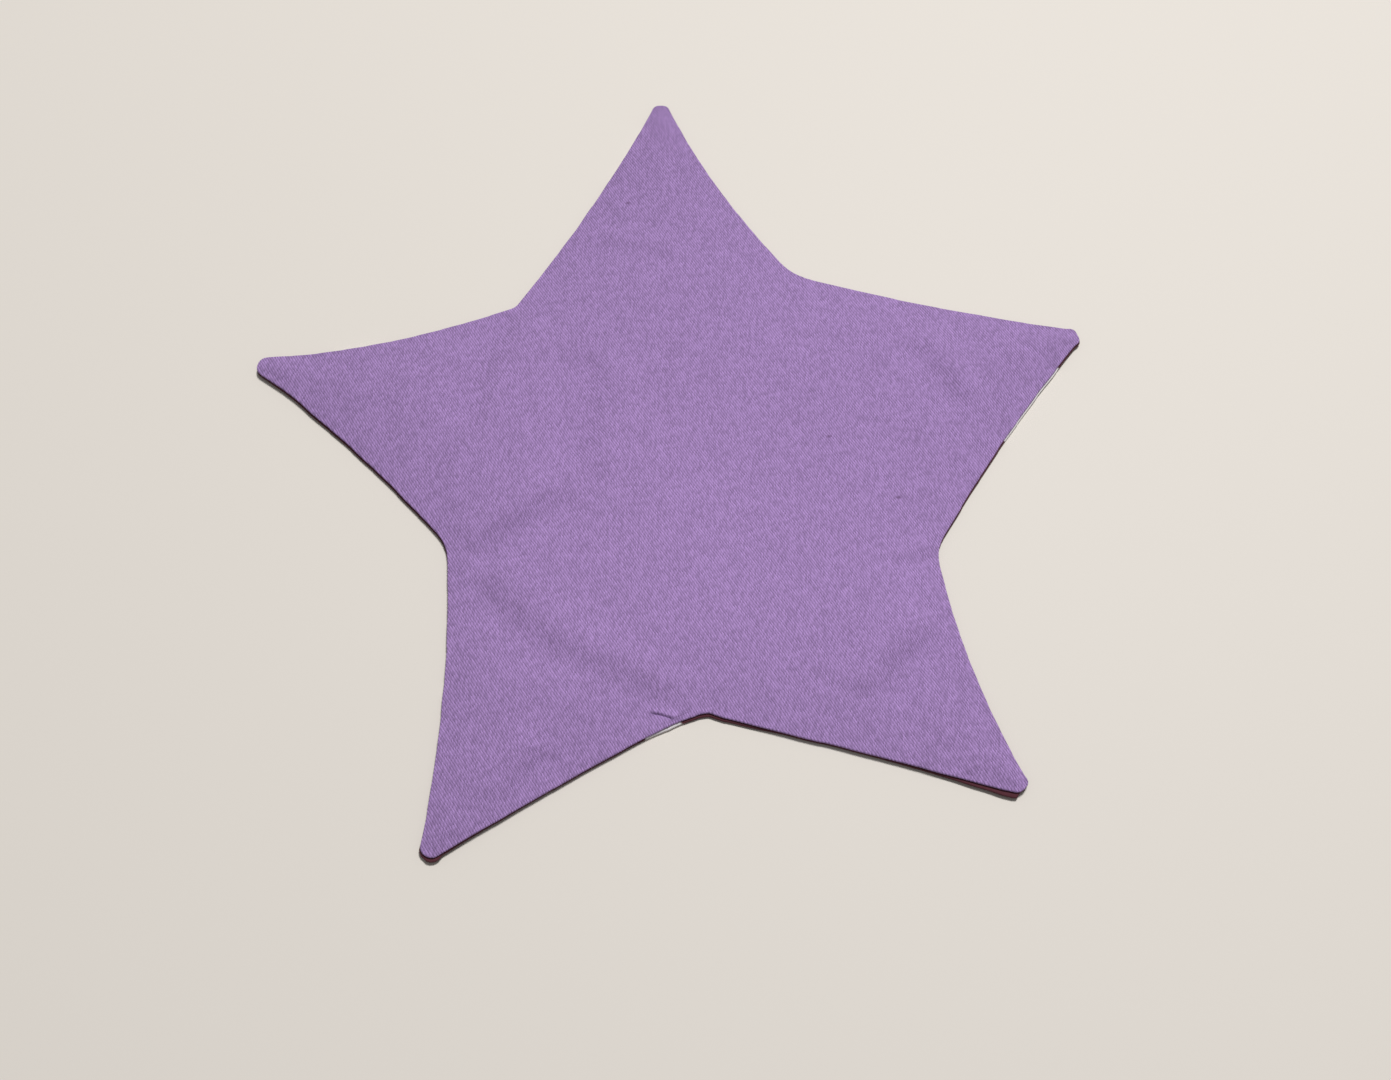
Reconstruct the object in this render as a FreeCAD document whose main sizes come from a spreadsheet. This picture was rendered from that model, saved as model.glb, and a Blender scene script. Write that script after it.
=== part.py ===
import FreeCAD, Part
import math
import os
import Sketcher
from FreeCAD import Placement, Rotation, Vector

# A flat five-armed star sewn from two pieces of cotton cloth.
# The pieces were sewn right sides together and turned out, so each one folds back
# on itself at the rim and its seam allowance lies inside.
# The star lies on its back. The origin is the centre of the star on the underside,
# +Z is up through the front cloth and +Y points along the top arm.
# All sizes are millimetres and degrees.

# The arms and the notches between them, in order round the star against the clock.
ARMS = ["top", "left", "lower_left", "lower_right", "right"]
NOTCHES = ["upper_left", "lower_left", "bottom", "lower_right", "upper_right"]

# The driving dimensions. A reach is measured from the centre of the star to the end of
# an arm or to the bottom of a notch, and a direction is turned from +X.
SIZES = [
    ("top_arm_reach", 116.7, "centre to the end of the top arm"),
    ("top_arm_direction", 89.2, "direction of the top arm"),
    ("left_arm_reach", 116.6, "centre to the end of the left arm"),
    ("left_arm_direction", 160.4, "direction of the left arm"),
    ("lower_left_arm_reach", 116.3, "centre to the end of the lower left arm"),
    ("lower_left_arm_direction", 234.7, "direction of the lower left arm"),
    ("lower_right_arm_reach", 115.5, "centre to the end of the lower right arm"),
    ("lower_right_arm_direction", 308.3, "direction of the lower right arm"),
    ("right_arm_reach", 110.9, "centre to the end of the right arm"),
    ("right_arm_direction", 376.2, "direction of the right arm, a full turn on"),
    ("arm_end_radius", 2.5, "rounding of each arm's end"),
    ("upper_left_notch_reach", 66.6, "centre to the bottom of the upper left notch"),
    ("upper_left_notch_direction", 128.9, "direction of the upper left notch"),
    ("upper_left_notch_radius", 2.0, "rounding of the upper left notch"),
    ("lower_left_notch_reach", 64.0, "centre to the bottom of the lower left notch"),
    ("lower_left_notch_direction", 196.0, "direction of the lower left notch"),
    ("lower_left_notch_radius", 10.0, "rounding of the lower left notch"),
    ("bottom_notch_reach", 66.8, "centre to the bottom of the bottom notch"),
    ("bottom_notch_direction", 268.6, "direction of the bottom notch"),
    ("bottom_notch_radius", 18.8, "rounding of the bottom notch"),
    ("lower_right_notch_reach", 66.9, "centre to the bottom of the lower right notch"),
    ("lower_right_notch_direction", 336.3, "direction of the lower right notch"),
    ("lower_right_notch_radius", 10.9, "rounding of the lower right notch"),
    ("upper_right_notch_reach", 65.6, "centre to the bottom of the upper right notch"),
    ("upper_right_notch_direction", 417.6, "direction of the upper right notch, a full turn on"),
    ("upper_right_notch_radius", 15.6, "rounding of the upper right notch"),
    ("top_arm_left_edge_radius", 437.0, "hollow of the top arm's left edge"),
    ("left_arm_top_edge_radius", 218.0, "hollow of the left arm's top edge"),
    ("left_arm_low_edge_radius", 368.0, "hollow of the left arm's lower edge"),
    ("lower_left_arm_outer_edge_radius", 324.0, "hollow of the lower left arm's outer edge"),
    ("lower_left_arm_inner_edge_radius", 1655.0, "hollow of the lower left arm's inner edge"),
    ("lower_right_arm_inner_edge_radius", 2600.0, "hollow of the lower right arm's inner edge"),
    ("lower_right_arm_outer_edge_radius", 195.0, "hollow of the lower right arm's outer edge"),
    ("right_arm_low_edge_radius", 489.0, "hollow of the right arm's lower edge"),
    ("right_arm_top_edge_radius", 593.0, "hollow of the right arm's top edge"),
    ("top_arm_right_edge_radius", 234.0, "hollow of the top arm's right edge"),
    ("cloth_thickness", 0.5, "thickness of each cloth"),
    ("fold_gap", 0.1, "air between a cloth and its own folded allowance"),
    ("fold_rounding", 0.5, "outer rounding of each folded rim"),
    ("seam_allowance", 8.0, "width of cloth turned in past the seam"),
    ("front_loft", 2.0, "rise of the front cloth from the rim to the middle"),
    ("flat_rim_width", 3.0, "width of the pressed rim before the front cloth rises"),
    ("loft_run", 26.0, "distance over which the front cloth rises"),
    ("rim_step", 0.03, "height of the front cloth over its pressed rim"),
    ("arm_end_bulk", 0.9, "extra rise where the allowances bunch up in each arm's end"),
    ("arm_end_bulk_reach", 8.0, "distance of that bulk from the end of the arm"),
    ("arm_end_bulk_spread", 5.0, "half width of that bulk"),
    ("crease_half_width", 7.0, "half width of each soft crease in the front cloth"),
    ("thread_diameter", 0.3, "thickness of the sewing thread"),
    ("thread_clearance", 0.02, "air between the seam thread and the folds beside it"),
    ("closing_gap_start", 2.0, "end of the bottom notch's rounding to the hand-closed stretch"),
    ("closing_gap_length", 36.0, "length of the hand-closed stretch of the seam"),
    ("closing_stitch_spacing", 4.0, "distance between the hand stitches"),
    ("closing_stitch_length", 1.3, "length of each hand stitch"),
    ("closing_stitch_slant", 14.0, "lean of each hand stitch along the seam"),
    ("loft_grid", 5.0, "distance between the poles of the front cloth's surface"),
]

# The soft creases of the front cloth. Each valley runs through places that are given by
# an arm or a notch, a share of its reach and a turn in degrees from its direction, and
# ends with the valley's depth.
CREASES = [
    (
        "root of the lower left arm",
        [
            ("lower_left_notch", 0.9, 12),
            ("lower_left_arm", 0.49, -2),
            ("bottom_notch", 0.87, -14),
            ("bottom_notch", 0.93, -1),
        ],
        1.0,
    ),
    (
        "lower left notch to the middle",
        [
            ("lower_left_notch", 0.95, 1),
            ("lower_left_notch", 0.7, 0),
            ("lower_left_notch", 0.51, -12),
            ("upper_left_notch", 0.44, 7),
        ],
        0.6,
    ),
    (
        "root of the lower right arm",
        [
            ("lower_right_arm", 0.65, 10),
            ("lower_right_arm", 0.64, 2),
            ("lower_right_arm", 0.66, -6),
        ],
        0.6,
    ),
    ("lower right notch", [("lower_right_notch", 0.98, -3), ("lower_right_notch", 0.84, -10)], 0.4),
    ("across the top arm", [("top_arm", 0.63, 15), ("top_arm", 0.55, -14)], 0.35),
    ("root of the right arm", [("right_arm", 0.63, 3), ("right_arm", 0.68, -6)], 0.4),
    ("upper left notch", [("upper_left_notch", 0.93, 2), ("upper_left_notch", 0.87, 14)], 0.4),
]


def make_sheet(doc):
    """Write the driving dimensions into a spreadsheet, one alias a line."""
    sheet = doc.addObject("Spreadsheet::Sheet", "sizes")
    for row, (alias, value, note) in enumerate(SIZES, start=1):
        sheet.set("A%d" % row, alias)
        sheet.set("B%d" % row, str(value))
        sheet.set("C%d" % row, note)
        sheet.setAlias("B%d" % row, alias)
    doc.recompute()
    return sheet


def polar(reach, direction):
    """A point on the star's plane from its distance and its direction in degrees."""
    angle = math.radians(direction)
    return Vector(reach * math.cos(angle), reach * math.sin(angle), 0)


def edge_alias(arm, notch):
    """Name of the size that hollows the edge between an arm and a notch."""
    pairs = {
        ("top", "upper_left"): "top_arm_left_edge_radius",
        ("left", "upper_left"): "left_arm_top_edge_radius",
        ("left", "lower_left"): "left_arm_low_edge_radius",
        ("lower_left", "lower_left"): "lower_left_arm_outer_edge_radius",
        ("lower_left", "bottom"): "lower_left_arm_inner_edge_radius",
        ("lower_right", "bottom"): "lower_right_arm_inner_edge_radius",
        ("lower_right", "lower_right"): "lower_right_arm_outer_edge_radius",
        ("right", "lower_right"): "right_arm_low_edge_radius",
        ("right", "upper_right"): "right_arm_top_edge_radius",
        ("top", "upper_right"): "top_arm_right_edge_radius",
    }
    return pairs[(arm, notch)]


def arm_end_circle(sheet, arm):
    """Centre and radius of the rounding at the end of an arm, inside the star."""
    radius = sheet.arm_end_radius
    reach = getattr(sheet, arm + "_arm_reach") - radius
    return polar(reach, getattr(sheet, arm + "_arm_direction")), radius


def notch_circle(sheet, notch):
    """Centre and radius of the rounding of a notch, outside the star."""
    radius = getattr(sheet, notch + "_notch_radius")
    reach = getattr(sheet, notch + "_notch_reach") + radius
    return polar(reach, getattr(sheet, notch + "_notch_direction")), radius


def edge_circle(arm_end, notch, radius, side):
    """Centre of the hollow edge that leaves both roundings as a tangent."""
    (end_centre, end_radius), (notch_centre, notch_radius) = arm_end, notch
    to_end = radius + end_radius
    to_notch = radius - notch_radius
    apart = notch_centre - end_centre
    span = apart.Length
    along = (to_end**2 - to_notch**2 + span**2) / (2 * span)
    across = math.sqrt(to_end**2 - along**2)
    unit = apart / span
    left = Vector(-unit.y, unit.x, 0)
    return end_centre + unit * along + left * (side * across)


def outline_arcs(sheet):
    """The star's outline against the clock: (name, centre, radius, start, end, hollow)."""
    arcs = []
    count = len(ARMS)
    for index, arm in enumerate(ARMS):
        next_arm = ARMS[(index + 1) % count]
        notch = NOTCHES[index]
        before = NOTCHES[index - 1]
        end = arm_end_circle(sheet, arm)
        root = notch_circle(sheet, notch)
        radius_in = getattr(sheet, edge_alias(arm, before))
        radius_out = getattr(sheet, edge_alias(arm, notch))
        radius_next = getattr(sheet, edge_alias(next_arm, notch))
        centre_in = edge_circle(end, notch_circle(sheet, before), radius_in, 1)
        centre_out = edge_circle(end, root, radius_out, -1)
        centre_next = edge_circle(arm_end_circle(sheet, next_arm), root, radius_next, 1)
        end_start = touch_point(centre_in, end[0], radius_in)
        end_stop = touch_point(centre_out, end[0], radius_out)
        root_start = touch_point(centre_out, root[0], radius_out)
        root_stop = touch_point(centre_next, root[0], radius_next)
        next_end = arm_end_circle(sheet, next_arm)
        edge_stop = touch_point(centre_next, next_end[0], radius_next)
        arcs.append((arm + "_arm_end", end[0], end[1], end_start, end_stop, False))
        arcs.append((arm + "_arm_to_" + notch, centre_out, radius_out, end_stop, root_start, True))
        arcs.append((notch + "_notch", root[0], root[1], root_start, root_stop, True))
        arcs.append((notch + "_to_" + next_arm, centre_next, radius_next, root_stop, edge_stop, True))
    return arcs


def touch_point(edge_centre, other_centre, edge_radius):
    """Where a hollow edge touches a rounding: on the line through both centres."""
    direction = other_centre - edge_centre
    return edge_centre + direction * (edge_radius / direction.Length)


def angle_of(centre, point):
    """Direction of a point seen from a centre, in radians."""
    return math.atan2(point.y - centre.y, point.x - centre.x)


def draw_outline(sketch, sheet):
    """Draw the outline as tangent arcs and tie each centre and radius to the sheet."""
    up = Vector(0, 0, 1)
    arcs = outline_arcs(sheet)
    for name, centre, radius, start, stop, hollow in arcs:
        first, last = (stop, start) if hollow else (start, stop)
        begin = angle_of(centre, first)
        finish = angle_of(centre, last)
        if finish < begin:
            finish += 2 * math.pi
        circle = Part.Circle(centre, up, radius)
        sketch.addGeometry(Part.ArcOfCircle(circle, begin, finish), False)
    count = len(arcs)
    for index in range(count):
        following = (index + 1) % count
        leaving = 1 if arcs[index][5] else 2
        arriving = 2 if arcs[following][5] else 1
        sketch.addConstraint(Sketcher.Constraint("Tangent", index, leaving, following, arriving))
    for index, (name, centre, radius, start, stop, hollow) in enumerate(arcs):
        row = sketch.addConstraint(Sketcher.Constraint("Radius", index, radius))
        sketch.renameConstraint(row, name + "_radius")
        if index % 2 == 0:
            row = sketch.addConstraint(Sketcher.Constraint("DistanceX", index, 3, centre.x))
            sketch.renameConstraint(row, name + "_x")
            row = sketch.addConstraint(Sketcher.Constraint("DistanceY", index, 3, centre.y))
            sketch.renameConstraint(row, name + "_y")
    tie_outline(sketch)


def tie_outline(sketch):
    """Bind the outline's constraints to the spreadsheet."""
    count = len(ARMS)
    for index, arm in enumerate(ARMS):
        notch = NOTCHES[index]
        next_arm = ARMS[(index + 1) % count]
        end = "Constraints." + arm + "_arm_end"
        reach = "(sizes.%s_arm_reach - sizes.arm_end_radius) * 1 mm" % arm
        direction = "sizes.%s_arm_direction" % arm
        sketch.setExpression(end + "_radius", "sizes.arm_end_radius * 1 mm")
        sketch.setExpression(end + "_x", "%s * cos(%s)" % (reach, direction))
        sketch.setExpression(end + "_y", "%s * sin(%s)" % (reach, direction))
        root = "Constraints." + notch + "_notch"
        reach = "(sizes.%s_notch_reach + sizes.%s_notch_radius) * 1 mm" % (notch, notch)
        direction = "sizes.%s_notch_direction" % notch
        sketch.setExpression(root + "_radius", "sizes.%s_notch_radius * 1 mm" % notch)
        sketch.setExpression(root + "_x", "%s * cos(%s)" % (reach, direction))
        sketch.setExpression(root + "_y", "%s * sin(%s)" % (reach, direction))
        out = "Constraints." + arm + "_arm_to_" + notch + "_radius"
        back = "Constraints." + notch + "_to_" + next_arm + "_radius"
        sketch.setExpression(out, "sizes.%s * 1 mm" % edge_alias(arm, notch))
        sketch.setExpression(back, "sizes.%s * 1 mm" % edge_alias(next_arm, notch))


def origin_plane(body, role):
    """One of a body's own origin planes."""
    return [plane for plane in body.Origin.OriginFeatures if plane.Role == role][0]


def make_rim(doc, sheet, name, base_height):
    """A rounded plate as thick as one cloth folded on itself, in a body of its own."""
    body = doc.addObject("PartDesign::Body", name)
    sketch = body.newObject("Sketcher::SketchObject", name + "_outline")
    sketch.AttachmentSupport = [(origin_plane(body, "XY_Plane"), "")]
    sketch.MapMode = "FlatFace"
    draw_outline(sketch, sheet)
    pad = body.newObject("PartDesign::Pad", name + "_pad")
    pad.Profile = sketch
    pad.setExpression("Length", "2 * sizes.cloth_thickness + sizes.fold_gap")
    doc.recompute()
    level = []
    for number, edge in enumerate(pad.Shape.Edges, start=1):
        if edge.BoundBox.ZLength < 0.001:
            level.append("Edge%d" % number)
    rounding = body.newObject("PartDesign::Fillet", name + "_rounding")
    rounding.Base = (pad, level)
    rounding.setExpression("Radius", "sizes.fold_rounding")
    body.Tip = rounding
    body.setExpression(".Placement.Base.z", base_height)
    doc.recompute()
    return body, sketch


def make_inset(doc, name, outline, distance):
    """The outline moved in from the rim by a distance."""
    inset = doc.addObject("Part::Offset2D", name)
    inset.Source = outline
    inset.setExpression("Value", "-(%s)" % distance)
    return inset


def make_prism(doc, name, profile, base_height, height):
    """A profile raised from a base height."""
    prism = doc.addObject("Part::Extrusion", name)
    prism.Base = profile
    prism.DirMode = "Custom"
    prism.Dir = Vector(0, 0, 1)
    prism.Solid = True
    prism.setExpression("LengthFwd", height)
    prism.setExpression(".Placement.Base.z", base_height)
    return prism


def make_box_prism(doc, name, profile, low, high):
    """A profile raised from one height to another."""
    return make_prism(doc, name, profile, low, "(%s) - (%s)" % (high, low))


def combine(doc, kind, name, shapes):
    """Join shapes with one of the boolean operations."""
    result = doc.addObject(kind, name)
    if kind == "Part::Cut":
        result.Base, result.Tool = shapes
    else:
        result.Shapes = shapes
    return result


def smooth(value):
    """Ease from 0 to 1 as value goes from 0 to 1."""
    value = min(max(value, 0.0), 1.0)
    return value * value * (3 - 2 * value)


def distance_inside(x, y, rim):
    """Distance from a place inside the rim to its nearest point, or 0 outside."""
    inside = False
    nearest = None
    last_x, last_y = rim[-1]
    for px, py in rim:
        if (py > y) != (last_y > y) and x < px + (y - py) * (last_x - px) / (last_y - py):
            inside = not inside
        apart = (x - px) ** 2 + (y - py) ** 2
        nearest = apart if nearest is None else min(nearest, apart)
        last_x, last_y = px, py
    return math.sqrt(nearest) if inside else 0.0


def distance_to_line(x, y, line):
    """Distance from a place to a line of straight runs."""
    nearest = None
    for (ax, ay), (bx, by) in zip(line, line[1:]):
        dx, dy = bx - ax, by - ay
        share = ((x - ax) * dx + (y - ay) * dy) / (dx * dx + dy * dy)
        share = min(max(share, 0.0), 1.0)
        apart = math.hypot(x - ax - share * dx, y - ay - share * dy)
        nearest = apart if nearest is None else min(nearest, apart)
    return nearest


def crease_line(sheet, places):
    """The places that a crease runs through, on the star's plane."""
    line = []
    for base, share, turn in places:
        reach = getattr(sheet, base + "_reach") * share
        place = polar(reach, getattr(sheet, base + "_direction") + turn)
        line.append((place.x, place.y))
    return line


def front_rise(sheet, x, y, rim, creases):
    """Rise of the front cloth over its pressed rim at one place."""
    depth = distance_inside(x, y, rim)
    inward = depth - sheet.flat_rim_width
    share = min(max(inward / sheet.loft_run, 0.0), 1.0)
    rise = sheet.front_loft * (1 - (1 - share) ** 2)
    for line, valley in creases:
        across = distance_to_line(x, y, line) / sheet.crease_half_width
        rise -= valley * math.exp(-across * across) * smooth(share * 3)
    for arm in ARMS:
        reach = getattr(sheet, arm + "_arm_reach") - sheet.arm_end_bulk_reach
        middle = polar(reach, getattr(sheet, arm + "_arm_direction"))
        away = math.hypot(x - middle.x, y - middle.y) / sheet.arm_end_bulk_spread
        rise += sheet.arm_end_bulk * math.exp(-away * away) * smooth(depth / sheet.flat_rim_width)
    return max(rise, 0.0)


def make_front_surface(doc, sheet, outline):
    """The upper face of the front cloth as one smooth surface over a grid of poles."""
    wire = outline.Shape.Wires[0]
    rim = [(point.x, point.y) for point in wire.discretize(Distance=sheet.loft_grid / 4)]
    box = wire.BoundBox
    step = sheet.loft_grid
    creases = [(crease_line(sheet, places), valley) for name, places, valley in CREASES]
    border_count = 3
    columns = int(box.XLength / step) + 2 * border_count + 1
    rows = int(box.YLength / step) + 2 * border_count + 1
    rim_height = 2 * (2 * sheet.cloth_thickness + sheet.fold_gap) + sheet.rim_step
    poles = []
    for column in range(columns):
        x = box.XMin + (column - border_count) * step
        line = []
        for row in range(rows):
            y = box.YMin + (row - border_count) * step
            line.append(Vector(x, y, rim_height + front_rise(sheet, x, y, rim, creases)))
        poles.append(line)
    degree = 3
    surface = Part.BSplineSurface()
    across = list(range(columns - degree + 1))
    along = list(range(rows - degree + 1))
    across_counts = [degree + 1] + [1] * (len(across) - 2) + [degree + 1]
    along_counts = [degree + 1] + [1] * (len(along) - 2) + [degree + 1]
    surface.buildFromPolesMultsKnots(
        poles, across_counts, along_counts, across, along, False, False, degree, degree
    )
    feature = doc.addObject("Part::Feature", "front_surface")
    feature.Shape = surface.toShape()
    return feature


def make_below(doc, name, surface, drop):
    """Everything under the front surface, let down by a drop."""
    below = doc.addObject("Part::Extrusion", name)
    below.Base = surface
    below.DirMode = "Custom"
    below.Dir = Vector(0, 0, -1)
    below.Solid = True
    below.setExpression("LengthFwd", "4 * (" + HEM + ") + sizes.front_loft + sizes.arm_end_bulk")
    below.setExpression(".Placement.Base.z", "-(%s)" % drop)
    return below


# Heights, from the underside up: one cloth folded on itself, then the other on top of it.
HEM = "2 * sizes.cloth_thickness + sizes.fold_gap"
FRONT_ALLOWANCE_TOP = "3 * sizes.cloth_thickness + sizes.fold_gap"


def make_back_panel(doc, sheet):
    """The back cloth: flat underneath, with its allowance folded up and inwards."""
    rim, outline = make_rim(doc, sheet, "back_rim", "0")
    slit_line = make_inset(doc, "back_slit_line", outline, "sizes.cloth_thickness")
    open_line = make_inset(
        doc, "back_open_line", outline, "sizes.cloth_thickness + sizes.seam_allowance"
    )
    slit = make_box_prism(
        doc, "back_slit", slit_line, "sizes.cloth_thickness", "sizes.cloth_thickness + sizes.fold_gap"
    )
    opening = make_box_prism(
        doc, "back_opening", open_line, "sizes.cloth_thickness + sizes.fold_gap / 2", "2 * (" + HEM + ")"
    )
    hollow = combine(doc, "Part::MultiFuse", "back_hollow", [slit, opening])
    panel = combine(doc, "Part::Cut", "back_panel", [rim, hollow])
    doc.recompute()
    return panel, outline


def make_front_panel(doc, sheet):
    """The front cloth: lofted and softly creased, with its allowance folded inwards."""
    rim, outline = make_rim(doc, sheet, "front_rim", HEM)
    surface = make_front_surface(doc, sheet, outline)
    core_line = make_inset(doc, "front_core_line", outline, "sizes.fold_rounding + sizes.fold_gap")
    slit_line = make_inset(doc, "front_slit_line", outline, "sizes.cloth_thickness")
    open_line = make_inset(
        doc, "front_open_line", outline, "sizes.cloth_thickness + sizes.seam_allowance"
    )
    high = "4 * (" + HEM + ") + sizes.front_loft + sizes.arm_end_bulk"
    middle = "1.5 * (" + HEM + ")"
    core = make_box_prism(doc, "front_core", core_line, middle, high)
    under = make_below(doc, "under_front_surface", surface, "0")
    lofted = combine(doc, "Part::MultiCommon", "front_lofted", [core, under])
    full = combine(doc, "Part::MultiFuse", "front_full", [rim, lofted])
    slit = make_box_prism(doc, "front_slit", slit_line, FRONT_ALLOWANCE_TOP, high)
    lining = make_below(doc, "under_front_lining", surface, "sizes.cloth_thickness")
    loft = combine(doc, "Part::MultiCommon", "front_loft_space", [slit, lining])
    opening = make_box_prism(
        doc, "front_opening", open_line, "0", FRONT_ALLOWANCE_TOP + " + sizes.fold_gap / 2"
    )
    hollow = combine(doc, "Part::MultiFuse", "front_hollow", [loft, opening])
    panel = combine(doc, "Part::Cut", "front_panel", [full, hollow])
    doc.recompute()
    return panel


def seam_place(sheet, run):
    """Place on the lower left arm's inner edge, a run away from the bottom notch."""
    arcs = {arc[0]: arc for arc in outline_arcs(sheet)}
    name, centre, radius, start, stop, hollow = arcs["lower_left_arm_to_bottom"]
    angle = angle_of(centre, stop) + run / radius
    inward = Vector(math.cos(angle), math.sin(angle), 0)
    return centre + inward * radius, inward * -1


def make_seam_thread(doc, sheet, outline):
    """The machine-sewn seam: thread lying in the groove between the two folded rims."""
    groove = (
        "sizes.fold_rounding - sqrt((sizes.fold_rounding + sizes.thread_diameter / 2"
        " + sizes.thread_clearance)^2 - sizes.fold_rounding^2)"
    )
    path = make_inset(doc, "seam_path", outline, groove)
    doc.recompute()
    first = path.Shape.Wires[0].OrderedEdges[0]
    start = first.valueAt(first.FirstParameter)
    forward = first.tangentAt(first.FirstParameter)
    section = doc.addObject("Part::RegularPolygon", "seam_section")
    section.Polygon = 6
    section.setExpression("Circumradius", "sizes.thread_diameter / 2")
    section.Placement = Placement(start, Rotation(Vector(0, 0, 1), forward))
    loop = doc.addObject("Part::Sweep", "seam_loop")
    loop.Sections = [section]
    loop.Spine = (path, ["Edge%d" % (n + 1) for n in range(len(path.Shape.Edges))])
    loop.Solid = True
    loop.Frenet = False
    loop.setExpression(".Placement.Base.z", HEM)
    near, outward = seam_place(sheet, sheet.closing_gap_start)
    far, unused = seam_place(sheet, sheet.closing_gap_start + sheet.closing_gap_length)
    gap = doc.addObject("Part::Box", "closing_gap")
    gap.Length = (far - near).Length
    gap.Width = 4 * sheet.seam_allowance
    gap.setExpression("Height", "2 * (" + HEM + ")")
    along = (far - near).normalize()
    across = Vector(0, 0, 1).cross(along)
    turn = Rotation(along, across, Vector(0, 0, 1), "XYZ")
    gap.Placement = Placement(near - across * (2 * sheet.seam_allowance), turn)
    thread = combine(doc, "Part::Cut", "seam_thread", [loop, gap])
    doc.recompute()
    return thread


def make_closing_thread(doc, sheet):
    """The hand stitches that close the stretch where the star was turned out."""
    hem = 2 * sheet.cloth_thickness + sheet.fold_gap
    proud = sheet.thread_diameter / 2 + sheet.thread_clearance
    stitches = []
    count = int(sheet.closing_gap_length / sheet.closing_stitch_spacing)
    margin = (sheet.closing_gap_length - (count - 1) * sheet.closing_stitch_spacing) / 2
    for number in range(count):
        run = sheet.closing_gap_start + margin + number * sheet.closing_stitch_spacing
        place, outward = seam_place(sheet, run)
        stitch = doc.addObject("Part::Cylinder", "hand_stitch_%d" % (number + 1))
        stitch.setExpression("Radius", "sizes.thread_diameter / 2")
        stitch.setExpression("Height", "sizes.closing_stitch_length")
        lean = Rotation(outward, sheet.closing_stitch_slant)
        half = lean.multVec(Vector(0, 0, sheet.closing_stitch_length / 2))
        middle = place + outward * proud + Vector(0, 0, hem)
        stitch.Placement = Placement(middle - half, lean)
        stitches.append(stitch)
    group = doc.addObject("Part::Compound", "closing_thread")
    group.Links = stitches
    doc.recompute()
    return group


def check_document(doc):
    """Stop if any object failed to build."""
    for item in doc.Objects:
        if "Invalid" in item.State or "Error" in item.State:
            raise RuntimeError("%s did not build: %s" % (item.Name, item.State))


def write_parts(nodes):
    """Check each sub-part's shape and write it to its own file."""
    for node in nodes:
        shape = node.Shape
        if shape.isNull() or not shape.isValid():
            raise RuntimeError("%s has no valid shape" % node.Label)
    for node in nodes:
        shape = node.Shape
        shape.exportStep("parts/%s.step" % node.Label)
        box = shape.BoundBox
        print(
            "%s: %d solids, %d faces, volume %.1f mm3, x %.1f to %.1f, y %.1f to %.1f, z %.2f to %.2f"
            % (node.Label, len(shape.Solids), len(shape.Faces), shape.Volume,
               box.XMin, box.XMax, box.YMin, box.YMax, box.ZMin, box.ZMax)
        )


def main():
    os.makedirs("parts", exist_ok=True)
    doc = FreeCAD.newDocument("star")
    sheet = make_sheet(doc)
    back_panel, outline = make_back_panel(doc, sheet)
    front_panel = make_front_panel(doc, sheet)
    seam_thread = make_seam_thread(doc, sheet, outline)
    closing_thread = make_closing_thread(doc, sheet)
    doc.recompute()
    check_document(doc)
    write_parts([front_panel, back_panel, seam_thread, closing_thread])


main()
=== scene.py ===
# %% [markdown]
# A sewn fabric star, lying flat on a table.
# The real one is two pieces of cotton cloth, cut as stars, sewn together with their
# right sides inwards and turned out through a short gap that was then closed by hand.
# The front is lilac twill and the back is plum cotton with off-white flowers.
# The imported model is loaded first. It holds the true sizes, and every piece below is
# worked out from it, so nothing has to be fitted by eye afterwards.

# %% Load the model
import math

import bpy
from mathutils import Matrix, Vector, geometry, kdtree, noise


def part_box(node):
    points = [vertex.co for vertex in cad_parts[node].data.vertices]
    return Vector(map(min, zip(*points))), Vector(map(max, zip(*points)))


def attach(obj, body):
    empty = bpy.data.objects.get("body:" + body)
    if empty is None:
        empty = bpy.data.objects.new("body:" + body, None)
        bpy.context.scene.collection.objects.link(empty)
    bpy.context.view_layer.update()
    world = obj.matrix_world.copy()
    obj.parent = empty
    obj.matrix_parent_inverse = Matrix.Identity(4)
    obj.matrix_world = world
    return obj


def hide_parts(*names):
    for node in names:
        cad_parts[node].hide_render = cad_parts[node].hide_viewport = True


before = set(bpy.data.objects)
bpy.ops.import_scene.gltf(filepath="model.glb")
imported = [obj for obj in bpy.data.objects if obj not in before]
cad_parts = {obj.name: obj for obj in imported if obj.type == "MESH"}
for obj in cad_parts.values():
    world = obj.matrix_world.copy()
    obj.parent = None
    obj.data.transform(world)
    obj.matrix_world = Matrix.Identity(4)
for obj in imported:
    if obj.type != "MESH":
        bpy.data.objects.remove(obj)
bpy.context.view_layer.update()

MM = 0.001
back_low, back_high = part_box("back_panel")

# %% [markdown]
# The outline of the star.
# Everything on this star follows its outline: the folds, the seam, the puckers and the
# loft of the cloth. The flat underside of the back cloth is one face, so the corners of
# its mesh all lie on the outline, a fold's rounding further in. Seen from the middle,
# each direction meets the outline once, so sorting the corners by their direction puts
# them in order. Drawing the outline again by hand would work too, but it would drift
# from the model when the model changes.

# %% Read the outline from the back cloth
# all in mm
FOLD_ROUNDING = 0.5
RIM_STEP = 0.7
FINE_STEP = 0.2
CURVE_STEP = 0.1
UNDERSIDE_REACH = 0.01


def direction_of(point):
    """Direction of a place seen from the middle of the star, in radians."""
    return math.atan2(point.y, point.x)


def underside_corners():
    """Corners of the back cloth's underside in mm, in order round the star."""
    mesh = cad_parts["back_panel"].data
    seen = {}
    for corner in mesh.vertices:
        if corner.co.z < UNDERSIDE_REACH * MM:
            place = Vector((corner.co.x / MM, corner.co.y / MM))
            seen[(round(place.x, 2), round(place.y, 2))] = place
    return sorted(seen.values(), key=direction_of)


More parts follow.
